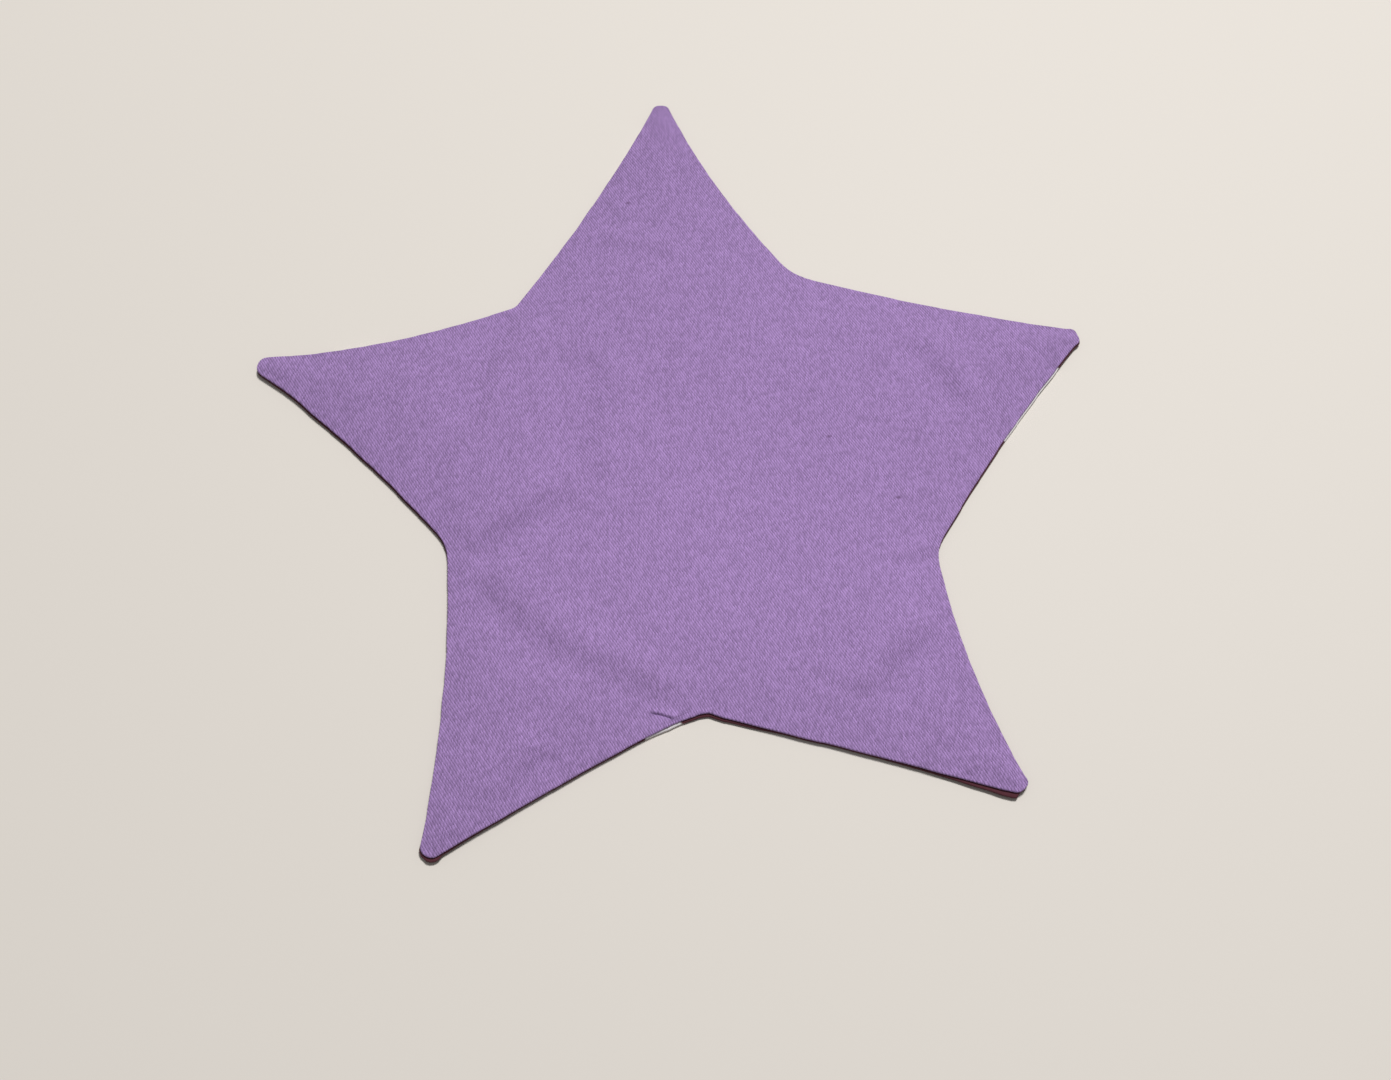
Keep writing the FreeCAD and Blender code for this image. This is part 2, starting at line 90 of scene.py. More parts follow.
def curve_through(points):
    """Close-set places on a smooth closed curve through the points."""
    fine = []
    count = len(points)
    for index in range(count):
        before, start = points[index - 1], points[index]
        end, after = points[(index + 1) % count], points[(index + 2) % count]
        length = (end - start).length
        if length < 1e-6:
            continue
        lead = (end - before) * (length / (length + (start - before).length + 1e-6))
        trail = (after - start) * (length / (length + (after - end).length + 1e-6))
        parts = max(int(length / CURVE_STEP), 1)
        for part in range(parts):
            t = part / parts
            fine.append(start * (2 * t**3 - 3 * t**2 + 1) + lead * (t**3 - 2 * t**2 + t)
                        + end * (3 * t**2 - 2 * t**3) + trail * (t**3 - t**2))
    return fine


def even_loop(points, step):
    """Places at an even distance along a smooth closed curve through the points."""
    fine = curve_through(points)
    run = [0.0]
    for first, second in zip(fine, fine[1:] + fine[:1]):
        run.append(run[-1] + (second - first).length)
    number = int(round(run[-1] / step))
    even = []
    at = 0
    for index in range(number):
        wanted = run[-1] * index / number
        while run[at + 1] < wanted:
            at += 1
        share = (wanted - run[at]) / max(run[at + 1] - run[at], 1e-9)
        even.append(fine[at].lerp(fine[(at + 1) % len(fine)], share))
    return even


def outward_normals(loop):
    """Direction straight out of the star at each place of a loop that runs against the clock."""
    normals = []
    count = len(loop)
    for index in range(count):
        along = loop[(index + 1) % count] - loop[index - 1]
        normals.append(Vector((along.y, -along.x)).normalized())
    return normals


inner_loop = even_loop(underside_corners(), FINE_STEP)
sewn_outline = [p + out * FOLD_ROUNDING for p, out in zip(inner_loop, outward_normals(inner_loop))]
print("outline read from the back cloth:", len(sewn_outline), "places")

# %% [markdown]
# Arms and notches.
# The five arm ends are the places furthest from the middle, and the five notches are the
# nearest ones. The lifted ends and the hand-closed stretch are placed against them, so
# that they stay where they belong when the model changes.

# %% Find the arms and the notches
ARM_NAMES = ["top", "left", "lower_left", "lower_right", "right"]
NOTCH_NAMES = ["upper_left", "lower_left", "bottom", "lower_right", "upper_right"]
# neighbours lie further apart than this, and each list starts just before the top arm
LEAST_ANGLE = math.radians(40)
FIRST_DIRECTION = math.radians(75)


def peaks(loop, sign):
    """The five places furthest from the middle, or nearest to it with sign -1, in order."""
    found = []
    for index in sorted(range(len(loop)), key=lambda i: -sign * loop[i].length):
        apart = [abs((direction_of(loop[index]) - direction_of(loop[other]) + math.pi)
                     % (2 * math.pi) - math.pi) for other in found]
        if all(angle > LEAST_ANGLE for angle in apart):
            found.append(index)
        if len(found) == 5:
            break
    return sorted(found, key=lambda i: (direction_of(loop[i]) - FIRST_DIRECTION) % (2 * math.pi))


arms = {name: sewn_outline[i] for name, i in zip(ARM_NAMES, peaks(sewn_outline, 1))}
notches = {name: sewn_outline[i] for name, i in zip(NOTCH_NAMES, peaks(sewn_outline, -1))}
for name, place in list(arms.items()) + list(notches.items()):
    print(name, [round(value, 1) for value in place])

# %% [markdown]
# The sewn outline.
# An outline that was sewn and turned out by hand isn't quite as even as a drawn one. The
# arm ends are blunt, because the turned-in corners fill them, the edges waver by a tenth
# of a millimetre or two, and the bottom notch is sharper where the allowance was snipped.
# The ends also stand a little off the table, most of all the two lower ones.

# %% Blunt ends, lifted ends and a hand-turned edge
END_LIFT = {"top": 0.2, "left": 0.25, "lower_left": 0.35, "lower_right": 0.35, "right": 0.3}
# share of an arm where its end starts to lift, and how softly it starts
LIFT_FROM = 0.62
LIFT_POWER = 1.5
# how far a lifted place seems to move away from the viewer, as a share of its lift
LIFT_LEAN = 0.466
END_RADIUS = 2.5
END_REACH = 1.6
END_SQUARENESS = {"top": 2.5, "left": 2.2, "lower_left": 2.2, "lower_right": 3.0, "right": 3.4}
WAVER = 0.14
WAVER_LENGTH = 8.0
WAVER_SEED = 3.0
RIM_NUDGES = [
    # a place on the edge, how far the edge moves out there and over what distance, in mm
    (-9.0, -68.6, 0.5, 4.0), (-0.3, -66.3, -0.9, 2.6), (69.9, -93.0, -0.9, 2.2),
    (-104.5, 27.0, -0.5, 6.0), (-106.0, 40.0, 0.4, 6.0),
]


def ease(value):
    """Go smoothly from 0 to 1 as value goes from 0 to 1."""
    value = min(max(value, 0.0), 1.0)
    return value * value * (3 - 2 * value)


def lift_at(place):
    """How far the whole star stands off the table at a place: only towards the arm ends."""
    lift = 0.0
    for name, end in arms.items():
        along = place.dot(end) / end.length_squared
        lift += END_LIFT[name] * ease((along - LIFT_FROM) / (1 - LIFT_FROM)) ** LIFT_POWER
    return lift


def blunt_end(place):
    """Move a place on an arm's round end outwards, to make the end squarer."""
    for name, end in arms.items():
        axis = end.normalized()
        centre = end - axis * END_RADIUS
        away = place - centre
        if away.length > END_REACH * END_RADIUS or away.dot(axis) < 0:
            continue
        along = abs(away.dot(axis)) / away.length
        across = math.sqrt(max(1 - along**2, 0.0))
        power = END_SQUARENESS[name]
        grow = (along**power + across**power) ** (-1 / power)
        return centre + away * (1 + (grow - 1) * ease(4 * along))
    return place


def hand_turned(loop):
    """The outline with blunt ends, a wavering edge and the ends brought down from their lift."""
    changed = []
    for index, (place, out) in enumerate(zip(loop, outward_normals(loop))):
        angle = 2 * math.pi * index / len(loop)
        size = len(loop) * FINE_STEP / WAVER_LENGTH / (2 * math.pi)
        around = Vector((math.cos(angle) * size, math.sin(angle) * size, WAVER_SEED))
        waver = WAVER * noise.noise(around)
        for x, y, amount, spread in RIM_NUDGES:
            waver += amount * math.exp(-((place - Vector((x, y))).length / spread) ** 2)
        moved = blunt_end(place) + out * waver
        changed.append(moved - Vector((0, LIFT_LEAN * lift_at(place))))
    return changed


rim_fine = even_loop(hand_turned(sewn_outline), FINE_STEP)
rim_fine_out = outward_normals(rim_fine)
rim = even_loop(rim_fine, RIM_STEP)
rim_out = outward_normals(rim)
rim_length = len(rim) * RIM_STEP
rim_tree = kdtree.KDTree(len(rim_fine))
for index, place in enumerate(rim_fine):
    rim_tree.insert((place.x, place.y, 0), index)
rim_tree.balance()


def depth_inside(place):
    """Distance from a place to the outline, negative outside it."""
    near, index, depth = rim_tree.find((place.x, place.y, 0))
    outside = (place - rim_fine[index]).dot(rim_fine_out[index]) > 0
    return -depth if outside else depth


print("sewn outline of", len(rim), "places,", round(rim_length), "mm round")

# %% [markdown]
# How the cloth lies.
# Nothing fills this star, so its two cloths lie nearly flat. The front one rises a little
# from its rim, and soft folds run across the roots of the arms, where the cloth was pulled
# when the star was turned out. Each fold is a line with a ridge on its left side and a
# valley on its right side, which is how slack cloth buckles. The last and smallest one is
# a pleat, a step where the cloth was caught doubled in the hand-closed stretch. A cloth
# simulation was the other way, but it makes folds of its own, while these should lie where
# the real ones do.

# %% Describe the folds of the front cloth
FOLDS = [
    # the places a fold runs through, its half width and the height of its ridge in mm
    ([(-54.6, -24.8), (-47.9, -33.0), (-42.5, -38.8), (-36.6, -44.5), (-30.7, -48.1)], 4.4, 0.62),
    ([(-35.6, -45.1), (-30.7, -48.6), (-22.6, -53.6), (-14.4, -57.8), (-8.3, -62.2),
      (-3.6, -66.2)], 3.6, 0.50),
    ([(-57.0, -20.0), (-46.6, -13.5), (-37.7, -8.7), (-30.6, -3.2)], 4.0, 0.76),
    ([(-18.7, 34.8), (-20.2, 24.9), (-21.9, 17.0), (-24.2, 7.4), (-28.0, 0.0)], 4.8, 0.82),
    ([(-40.8, 53.0), (-45.9, 38.8), (-50.7, 25.4), (-53.5, 13.7)], 3.9, 0.78),
    ([(39.6, -66.8), (44.0, -58.7), (48.7, -54.7), (57.4, -48.6)], 4.2, 0.90),
    ([(32.5, -51.5), (39.5, -48.0), (46.5, -45.0)], 2.4, 0.20),
    ([(48.2, -31.3), (55.9, -29.8), (62.1, -28.1)], 2.0, 0.26),
    ([(-26.1, 68.0), (-16.8, 70.2), (-7.4, 67.7), (3.1, 62.4)], 2.6, 0.24),
    ([(62.9, 33.6), (68.1, 23.6), (71.6, 16.6), (74.0, 10.4)], 3.8, 0.64),
    ([(-49.9, -85.3), (-45.0, -77.7), (-38.2, -71.2)], 3.4, 0.62),
    ([(-13.8, -65.0), (-11.4, -65.6), (-8.9, -66.6), (-6.0, -67.8)], 0.28, 1.0),
]
# share of a fold over which it fades in, and how much of it is left at its very ends
FOLD_TAPER = 0.22
FOLD_END = 0.18
# in mm: where folds start inside the edge, how soon they are full, how far off they are
# looked for, the width under which a fold is a pleat, and how far a pleat falls back
FOLD_START = 0.7
FOLD_STOP = 2.2
FOLD_MARGIN = 9.0
SHARP = 1.0
PLEAT_BACK = 2.6

fold_lines = [([Vector(place) for place in places], width, height)
              for places, width, height in FOLDS]


def nearest_on_run(place, line):
    """Distance from a line, positive on its left, share of the run, distance past its ends."""
    passed = 0.0
    total = sum((end - start).length for start, end in zip(line, line[1:]))
    best = (1e9, 0.0, 0.0)
    least = 1e9
    for start, end in zip(line, line[1:]):
        length = (end - start).length
        along = (end - start) / length
        ahead = (place - start).dot(along)
        run = min(max(ahead, 0.0), length)
        away = (place - start - along * run).length
        if away < least:
            least = away
            left = along.x * (place - start).y - along.y * (place - start).x
            past = abs(ahead - run)
            share = (passed + run) / total
            at_end = past > 0 and (share < 1e-6 or share > 1 - 1e-6)
            best = (left, share, past) if at_end else (math.copysign(away, left), share, 0.0)
        passed += length
    return best


def fold_rise(place, depth):
    """Rise of the folds at a place: a ridge beside a valley, fading at both ends."""
    total = 0.0
    for line, width, height in fold_lines:
        if min((place - corner).length for corner in line) > 8 * width + FOLD_MARGIN:
            continue
        away, share, past = nearest_on_run(place, line)
        across = away / width
        if abs(away) < max(4 * width, 3 * PLEAT_BACK):
            fade = ease(min(share, 1 - share) / FOLD_TAPER + FOLD_END)
            inside = ease((depth - FOLD_START) / min(FOLD_STOP, 3 * width))
            fade *= math.exp(-(past / width) ** 2) * inside
            if width < SHARP:
                total += height * fade * ease(0.5 + across / 2) * math.exp(-abs(away) / PLEAT_BACK)
            else:
                total += height * fade * across * math.exp(0.5 - across**2 / 2)
    return total


highest = max(height for line, width, height in fold_lines)
print(len(fold_lines), "folds, the highest", highest, "mm")

# %% [markdown]
# Waves and puckers.
# Cloth that was never pressed flat carries slow waves and small wrinkles. Blender's noise
# gives both, different all over but the same on every run. Along the seam the stitches
# draw the cloth into shallow puckers, and the allowances that bunch up in the narrow ends
# of the arms make them a little thicker. The cloth can't sink into its own allowance, so
# its rise never falls below nothing.

# %% Describe the rise of both cloths
# heights and distances in mm; a RUN is the distance over which a form reaches its height
RIM_EDGE = 0.8
LOFT = 1.45
LOFT_RUN = 24.0
END_BULK = 0.4
END_BULK_IN = 7.5
END_BULK_SPREAD = 4.5
END_BULK_RUN = 3.0
WAVES = [(34.0, 0.42, 2.0), (15.0, 0.08, 5.0), (7.0, 0.055, 7.0)]  # length, height, seed
WAVE_RUN = 7.0
PUCKER_START = 0.6
PUCKER_RUN = 1.5
PUCKER_LENGTH = 6.5
PUCKER_HEIGHT = 0.04
PUCKER_REACH = 3.5
RIM_GAP = 0.1
CLEARANCE = 0.05
BACK_SLACK = 0.18
BACK_SEED = 11.0
SINK_RUN = 9.0


def wave(place, size, seed):
    """A slow wave between about -1 and 1."""
    return noise.noise(Vector((place.x / size, place.y / size, seed)))


def pucker_at(place, depth):
    """Shallow ripples that start at the seam and die out a few millimetres in."""
    if depth > 4 * PUCKER_REACH:
        return 0.0
    run = rim_tree.find((place.x, place.y, 0))[1] * FINE_STEP
    drift = 1.3 * noise.noise(Vector((run / 17.0, 0.0, 4.0)))
    strength = 0.6 + 0.8 * noise.noise(Vector((run / 23.0, 0.0, 9.0)))
    ripple = math.sin(2 * math.pi * (run / PUCKER_LENGTH + drift))
    return PUCKER_HEIGHT * strength * ripple * math.exp(-depth / PUCKER_REACH)


def front_rise(place):
    """Rise of the front cloth over its folded rim at a place."""
    depth = depth_inside(place)
    share = min(max((depth - RIM_EDGE) / LOFT_RUN, 0.0), 1.0)
    rise = LOFT * (1 - (1 - share) ** 2)
    rise += fold_rise(place, depth)
    for size, height, seed in WAVES:
        rise += height * wave(place, size, seed) * ease((depth - FOLD_START) / WAVE_RUN)
    rise += pucker_at(place, depth) * ease((depth - PUCKER_START) / PUCKER_RUN)
    for name, end in arms.items():
        middle = end * (1 - END_BULK_IN / end.length)
        away = (place - middle).length / END_BULK_SPREAD
        rise += END_BULK * math.exp(-away**2) * ease((depth - PUCKER_START) / END_BULK_RUN)
    if rise >= 1:
        return rise
    return CLEARANCE * math.log1p(math.exp(min(rise / CLEARANCE, 60.0)))


def back_rise(place):
    """Rise of the back cloth: it sinks from its rim to the table and lies nearly flat there."""
    depth = depth_inside(place)
    slack = 0.5 + 0.5 * wave(place, WAVES[0][0], BACK_SEED)
    return (-RIM_GAP + BACK_SLACK * slack) * ease((depth - RIM_EDGE) / SINK_RUN)


print("front rises", round(front_rise(Vector((0, 0))), 2), "mm in the middle")

# %% [markdown]
# Making a cloth.
# Each cloth is one sheet. It runs from the inside of its turned-in allowance, outwards to
# the fold, round the fold and back over the whole star. Near the outline the mesh is made
# of rings, which keep the fold round. Inside, the rings would cross in the narrow arms, so
# that part is filled with evenly spread points and joined by Blender's constrained
# Delaunay triangulation. A Solidify modifier then gives the sheet its thickness, and each
# point keeps the place that it had on the flat cloth, so that the weave runs round the
# fold as it does on the real one.

# %% Helpers that build a folded cloth
# the cloth, its rings, its points and its allowance in mm
CLOTH = 0.34
RING_DEPTHS = [0.95, 1.4]
POINT_STEP = 1.05
FINE_POINTS = 0.22
FINE_REACH = 1.6
ALLOWANCE = 8.0
FOLD_PARTS = 8
ROW_RATIO = 0.866
EVERYWHERE = 200.0


class ClothMesh:
    """Collects the points and faces of one sheet, with their places on the flat cloth."""

    def __init__(self):
        self.points = []
        self.flat = []
        self.faces = []

    def add(self, x, y, z, flat):
        """Add one point in mm and return its number."""
        self.points.append((x * MM, y * MM, z * MM))
        self.flat.append((flat.x * MM, flat.y * MM, 0.0))
        return len(self.points) - 1

    def join_rings(self, first, second):
        """Join two rings of points by a band of faces."""
        count = len(first)
        for index in range(count):
            following = (index + 1) % count
            self.faces.append((first[index], first[following], second[following], second[index]))


def near_sharp_fold(place):
    """Whether a place lies beside a fold that needs finer points."""
    for line, width, height in fold_lines:
        away, share, past = nearest_on_run(place, line)
        if width < SHARP and max(abs(away), past) < FINE_REACH:
            return True
    return False


def rows_of_points(around, margin, step, least_depth, most_depth, wanted):
    """Points in staggered rows around some places, between two distances from the outline."""
    low_x, high_x = min(p.x for p in around) - margin, max(p.x for p in around) + margin
    low_y, high_y = min(p.y for p in around) - margin, max(p.y for p in around) + margin
    found = []
    for row in range(int((high_y - low_y) / (step * ROW_RATIO)) + 1):
        y = low_y + row * step * ROW_RATIO
        for column in range(int((high_x - low_x) / step) + 1):
            place = Vector((low_x + (column + 0.5 * (row % 2)) * step, y))
            if wanted(place) and least_depth < depth_inside(place) < most_depth:
                found.append(place)
    return found


def fill_inside(cloth, ring, ring_places, height, most_depth, upward):
    """Fill the part inside a ring with even points and triangles."""
    least = RING_DEPTHS[-1]
    places = list(ring_places)
    places += rows_of_points(rim, 0.0, POINT_STEP, least + 0.5 * POINT_STEP, most_depth,
                             lambda place: not near_sharp_fold(place))
    for line, width, ridge in fold_lines:
        if width < SHARP:
            places += rows_of_points(line, FINE_REACH, FINE_POINTS, least + FINE_POINTS, most_depth,
                                     near_sharp_fold)
    count = len(ring_places)
    border = [(index, (index + 1) % count) for index in range(count)]
    if most_depth < EVERYWHERE:
        moved = [place - out * most_depth for place, out in zip(rim, rim_out)]
        edge = [place for place in moved if depth_inside(place) > most_depth - 0.02]
        start = len(places)
        places += edge
        border += [(start + index, start + (index + 1) % len(edge)) for index in range(len(edge))]
    made = geometry.delaunay_2d_cdt(places, border, [], 0, 1e-5, True)
    new_places, new_faces, origins = made[0], made[2], made[3]
    number = {}
    for index, origin in enumerate(origins):
        on_ring = [old for old in origin if old < count]
        if on_ring:
            number[index] = ring[on_ring[0]]
    for face in new_faces:
        middle = (new_places[face[0]] + new_places[face[1]] + new_places[face[2]]) / 3
        if not least - 0.05 < depth_inside(middle) < most_depth:
            continue
        for corner in face:
            if corner not in number:
                place = new_places[corner]
                number[corner] = cloth.add(place.x, place.y, height(place), place)
        corners = [number[corner] for corner in face]
        cloth.faces.append(corners if upward else corners[::-1])


# %% [markdown]
# The rolled seam.
# A seam that was turned out by hand rolls to one side. At the lower edges the fold of the
# back cloth stands out past the front one: by a millimetre under the two lower ends, and
# hardly at all elsewhere. Its print shows there as a dark band that is partly the back cloth
# and partly painted shadow: how far it stands out follows the shadow under the lower edges.
# The front cloth is drawn in a little at the start of the hand-closed stretch. Both are
# given at a few places along the edge and run smoothly between them.

# %% How far each cloth reaches at the edge
FRONT_INSET = -0.05
DRAWN_IN = [(-9.3, -69.0, 0.25, 3.0)]
# partly painted shadow: where the dark back cloth stands out furthest, it stands in for the shadow
# under the lower edges
BACK_SHOWS_AS_SHADOW = [
    # places along the edge, against the clock, and how far the back cloth stands out in mm
    (0.0, 115.0, 0.1), (-40.0, 53.0, 0.1), (-100.0, 42.0, 0.1), (-110.3, 36.3, 0.2),
    (-104.0, 27.0, 0.35), (-91.1, 14.7, 0.4), (-73.1, -3.5, 0.35), (-63.0, -17.0, 0.3),
    (-60.9, -25.0, 0.1), (-68.6, -91.0, 0.1), (-68.8, -96.0, 0.6), (-67.0, -98.6, 1.0),
    (-65.0, -98.7, 0.9), (-62.0, -97.3, 0.3), (-50.0, -89.5, 0.15), (-40.7, -84.2, 0.1),
    (-20.0, -72.5, 0.15), (-12.9, -69.4, 0.3), (-8.3, -68.1, 0.4), (-4.1, -67.0, 0.6),
    (-0.2, -65.7, 0.75), (7.4, -68.3, 0.6), (18.8, -73.7, 0.2), (34.7, -79.9, 0.15),
    (50.4, -86.3, 0.4), (61.5, -90.8, 0.9), (68.1, -93.2, 1.3), (69.6, -93.0, 1.2),
    (71.2, -92.4, 0.1), (73.5, -88.0, 0.1), (68.0, -65.0, 0.1), (61.5, -30.0, 0.1),
    (63.5, -24.0, 0.25), (74.0, -8.2, 0.35), (99.6, 20.9, 0.4), (105.7, 28.2, 0.35),
    (107.0, 33.0, 0.1), (40.0, 58.0, 0.1),
]

run_of_show_and_shadow = []
for x, y, amount in BACK_SHOWS_AS_SHADOW:
    run_of_show_and_shadow.append((rim_tree.find((x, y, 0))[1] * FINE_STEP, amount))
run_of_show_and_shadow.sort()
fine_length = len(rim_fine) * FINE_STEP


def back_inset(place):
    """How far the back cloth's fold lies inside the outline at a place: less than nothing."""
    run = rim_tree.find((place.x, place.y, 0))[1] * FINE_STEP
    before = (run_of_show_and_shadow[-1][0] - fine_length, run_of_show_and_shadow[-1][1])
    for after in run_of_show_and_shadow + [(run_of_show_and_shadow[0][0] + fine_length, run_of_show_and_shadow[0][1])]:
        if after[0] > run:
            share = ease((run - before[0]) / (after[0] - before[0]))
            return -before[1] * (1 - share) - after[1] * share
        before = after
    return -before[1]


def front_inset(place):
    """How far the front cloth's fold lies inside the outline at a place."""
    inset = FRONT_INSET
    for x, y, amount, spread in DRAWN_IN:
        inset += amount * math.exp(-((place - Vector((x, y))).length / spread) ** 2)
    return inset


print("the back cloth stands out by up to", max(amount for run, amount in run_of_show_and_shadow), "mm")

# %% [markdown]
# The two cloths.
# The front cloth is the upper half of the sandwich: its show side is on top and its
# allowance lies under it. The back cloth is the same thing turned over, so both are made
# by one function, which is told what differs: the height and the middle of the fold, the
# side that shows, how the cloth rises and how far its edge reaches.

# %% Build the front and the back cloth
FRONT_FOLD = 0.75
BACK_FOLD = 0.8
seam_height = RIM_GAP + BACK_FOLD


def make_piece(name, points, faces):
    """A smooth object from lists of points and faces."""
    mesh = bpy.data.meshes.new(name)
    mesh.from_pydata(points, [], faces)
    mesh.shade_smooth()
    piece = bpy.data.objects.new(name, mesh)
    bpy.context.scene.collection.objects.link(piece)
    return piece


def bake_modifiers(piece):
    """Put the result of a piece's modifiers into its mesh."""
    depsgraph = bpy.context.evaluated_depsgraph_get()
    solid = bpy.data.meshes.new_from_object(piece.evaluated_get(depsgraph))
    piece.modifiers.clear()
    piece.data = solid


def flat_area(piece):
    """Area of one side of a thick cloth, in square metres."""
    return sum(face.area for face in piece.data.polygons) / 2


def make_cloth(name, fold_height, fold_middle, side, rise, inset_of):
    """A folded cloth: side is 1 when the show side faces up and -1 when it faces down."""
    cloth = ClothMesh()
    bend = (fold_height - CLOTH) / 2

    def show_height(place):
        return fold_middle + side * bend + rise(place) + lift_at(place)

    def under_height(place):
        return fold_middle - side * bend + lift_at(place)

    def ring_at(depth):
        return [place - out * depth for place, out in zip(rim, rim_out)]

    rings = []
    for depth in reversed(RING_DEPTHS):
        rings.append([cloth.add(p.x, p.y, show_height(p), p) for p in ring_at(depth)])
    for part in range(FOLD_PARTS + 1):
        angle = math.pi / 2 - math.pi * part / FOLD_PARTS
        ring = []
        for place, out in zip(rim, rim_out):
            inset = inset_of(place) + fold_height / 2
            moved = place - out * (inset - bend * math.cos(angle))
            height = fold_middle + side * bend * math.sin(angle) + lift_at(place)
            run = bend * (math.pi / 2 - angle)
            ring.append(cloth.add(moved.x, moved.y, height, place - out * (inset - run)))
        rings.append(ring)
    for depth in RING_DEPTHS:
        rings.append([cloth.add(p.x, p.y, under_height(p), p) for p in ring_at(depth)])
    for first, second in zip(rings, rings[1:]):
        if side > 0:
            cloth.join_rings(second, first)
        else:
            cloth.join_rings(first, second)
    inner = ring_at(RING_DEPTHS[-1])
    fill_inside(cloth, rings[0], inner, show_height, EVERYWHERE, side > 0)
    fill_inside(cloth, rings[-1], inner, under_height, ALLOWANCE, side < 0)

    piece = make_piece(name, cloth.points, cloth.faces)
    places = piece.data.attributes.new("cloth_place", "FLOAT_VECTOR", "POINT")
    places.data.foreach_set("vector", [value for flat in cloth.flat for value in flat])
    thick = piece.modifiers.new("cloth thickness", "SOLIDIFY")
    thick.thickness = CLOTH * MM
    thick.offset = 0.0
    bake_modifiers(piece)
    return piece


front_cloth = make_cloth("front_cloth", FRONT_FOLD, seam_height + FRONT_FOLD / 2, 1, front_rise,
                         front_inset)
back_cloth = make_cloth("back_cloth", BACK_FOLD, RIM_GAP + BACK_FOLD / 2, -1, back_rise,
                        back_inset)
for piece in (front_cloth, back_cloth):
    area = round(flat_area(piece), 4)
    print(piece.name, len(piece.data.polygons), "faces", area, "square metres")

# %% [markdown]
# The machine seam.
# The two cloths are held together by a line of small stitches in the groove between their
# folds. Only the thread's short runs show there, each one dipping in at its ends. A stitch
# is a small bulged rod made of rings of points, and two plies that wind round each other
# give it its twist. All the stitches of one seam are one mesh.

# %% Build the stitches
STITCH_STEP = 2.4
STITCH_LENGTH = 1.9
THREAD = 0.24
PLY_TURNS = 1.5
STITCH_BULGE = 0.12
STITCH_RINGS = 9
STITCH_SIDES = 6


def add_rod(points, faces, line, radius):
    """Add a rod along a line of 3D places, with rounded ends, to lists of points and faces."""
    start = len(points)
    last = len(line) - 1
    for index, place in enumerate(line):
        along = (line[min(index + 1, last)] - line[max(index - 1, 0)]).normalized()
        side = along.cross(Vector((0, 0, 1)))
        side = side.normalized() if side.length > 1e-6 else Vector((1, 0, 0))
        up = side.cross(along)
        share = index / last
        size = radius * max(math.sin(math.pi * share), 0.0) ** 0.35 + 1e-4
        for corner in range(STITCH_SIDES):
            angle = 2 * math.pi * corner / STITCH_SIDES
            ring_point = place + side * (size * math.cos(angle)) + up * (size * math.sin(angle))
            points.append(ring_point * MM)
    for index in range(last):
        for corner in range(STITCH_SIDES):
            a = start + index * STITCH_SIDES + corner
            b = start + index * STITCH_SIDES + (corner + 1) % STITCH_SIDES
            faces.append((a, b, b + STITCH_SIDES, a + STITCH_SIDES))
    faces.append([start + corner for corner in reversed(range(STITCH_SIDES))])
    faces.append([start + last * STITCH_SIDES + corner for corner in range(STITCH_SIDES)])


def add_stitch(points, faces, start, end, bulge):
    """Add one stitch of two twisted plies between two places, bulging by a vector."""
    along = (end - start).normalized()
    side = along.cross(bulge.normalized())
    out = bulge.normalized()
    for ply in (0, 1):
        line = []
        for ring in range(STITCH_RINGS):
            share = ring / (STITCH_RINGS - 1)
            turn = 2 * math.pi * (PLY_TURNS * share + ply / 2)
            middle = start.lerp(end, share) + bulge * math.sin(math.pi * share)
            offset = (out * math.cos(turn) + side * math.sin(turn)) * (THREAD / 4)
            line.append(middle + offset)
        add_rod(points, faces, line, THREAD / 4)


def on_rim(run, out, height):
    """A place at a run along the outline, out from it by a distance, at a height in mm."""
    share = (run / rim_length * len(rim)) % len(rim)
    index = int(share)
    following = (index + 1) % len(rim)
    place = rim[index].lerp(rim[following], share - index)
    direction = rim_out[index].lerp(rim_out[following], share - index).normalized()
    moved = place + direction * out
    sewn = Vector((moved.x, moved.y, height + lift_at(place)))
    return sewn, Vector((direction.x, direction.y, 0))


# %% [markdown]
# Where the seam is closed by hand.
# The star was turned out through a gap next to the bottom notch, on the lower left arm.
# The gap is closed by short slanting stitches that lie outside the folds. The machine
# stitches run everywhere else.

# %% Sew the seam and close the gap
SEAM_DEPTH = -0.4
CLOSING_START = 7.0
CLOSING_LENGTH = 36.0
HAND_STITCH_STEP = 4.0
HAND_STITCH_HEIGHT = 0.8
HAND_STITCH_SLANT = 0.35
HAND_STITCH_LOW = -0.08
HAND_STITCH_HIGH = -0.3

bottom_place = notches["bottom"]
bottom_run = rim_tree.find((bottom_place.x, bottom_place.y, 0))[1] * FINE_STEP
closing_from = bottom_run - CLOSING_START - CLOSING_LENGTH
closing_to = bottom_run - CLOSING_START

seam_points, seam_faces = [], []
seam_count = int(rim_length / STITCH_STEP)
for number in range(seam_count):
    run = number * rim_length / seam_count
    if closing_from < run < closing_to:
        continue
    start, out = on_rim(run, SEAM_DEPTH, seam_height)
    end, unused = on_rim(run + STITCH_LENGTH, SEAM_DEPTH, seam_height)
    add_stitch(seam_points, seam_faces, start, end, out * STITCH_BULGE)
seam = make_piece("seam_stitches", seam_points, seam_faces)

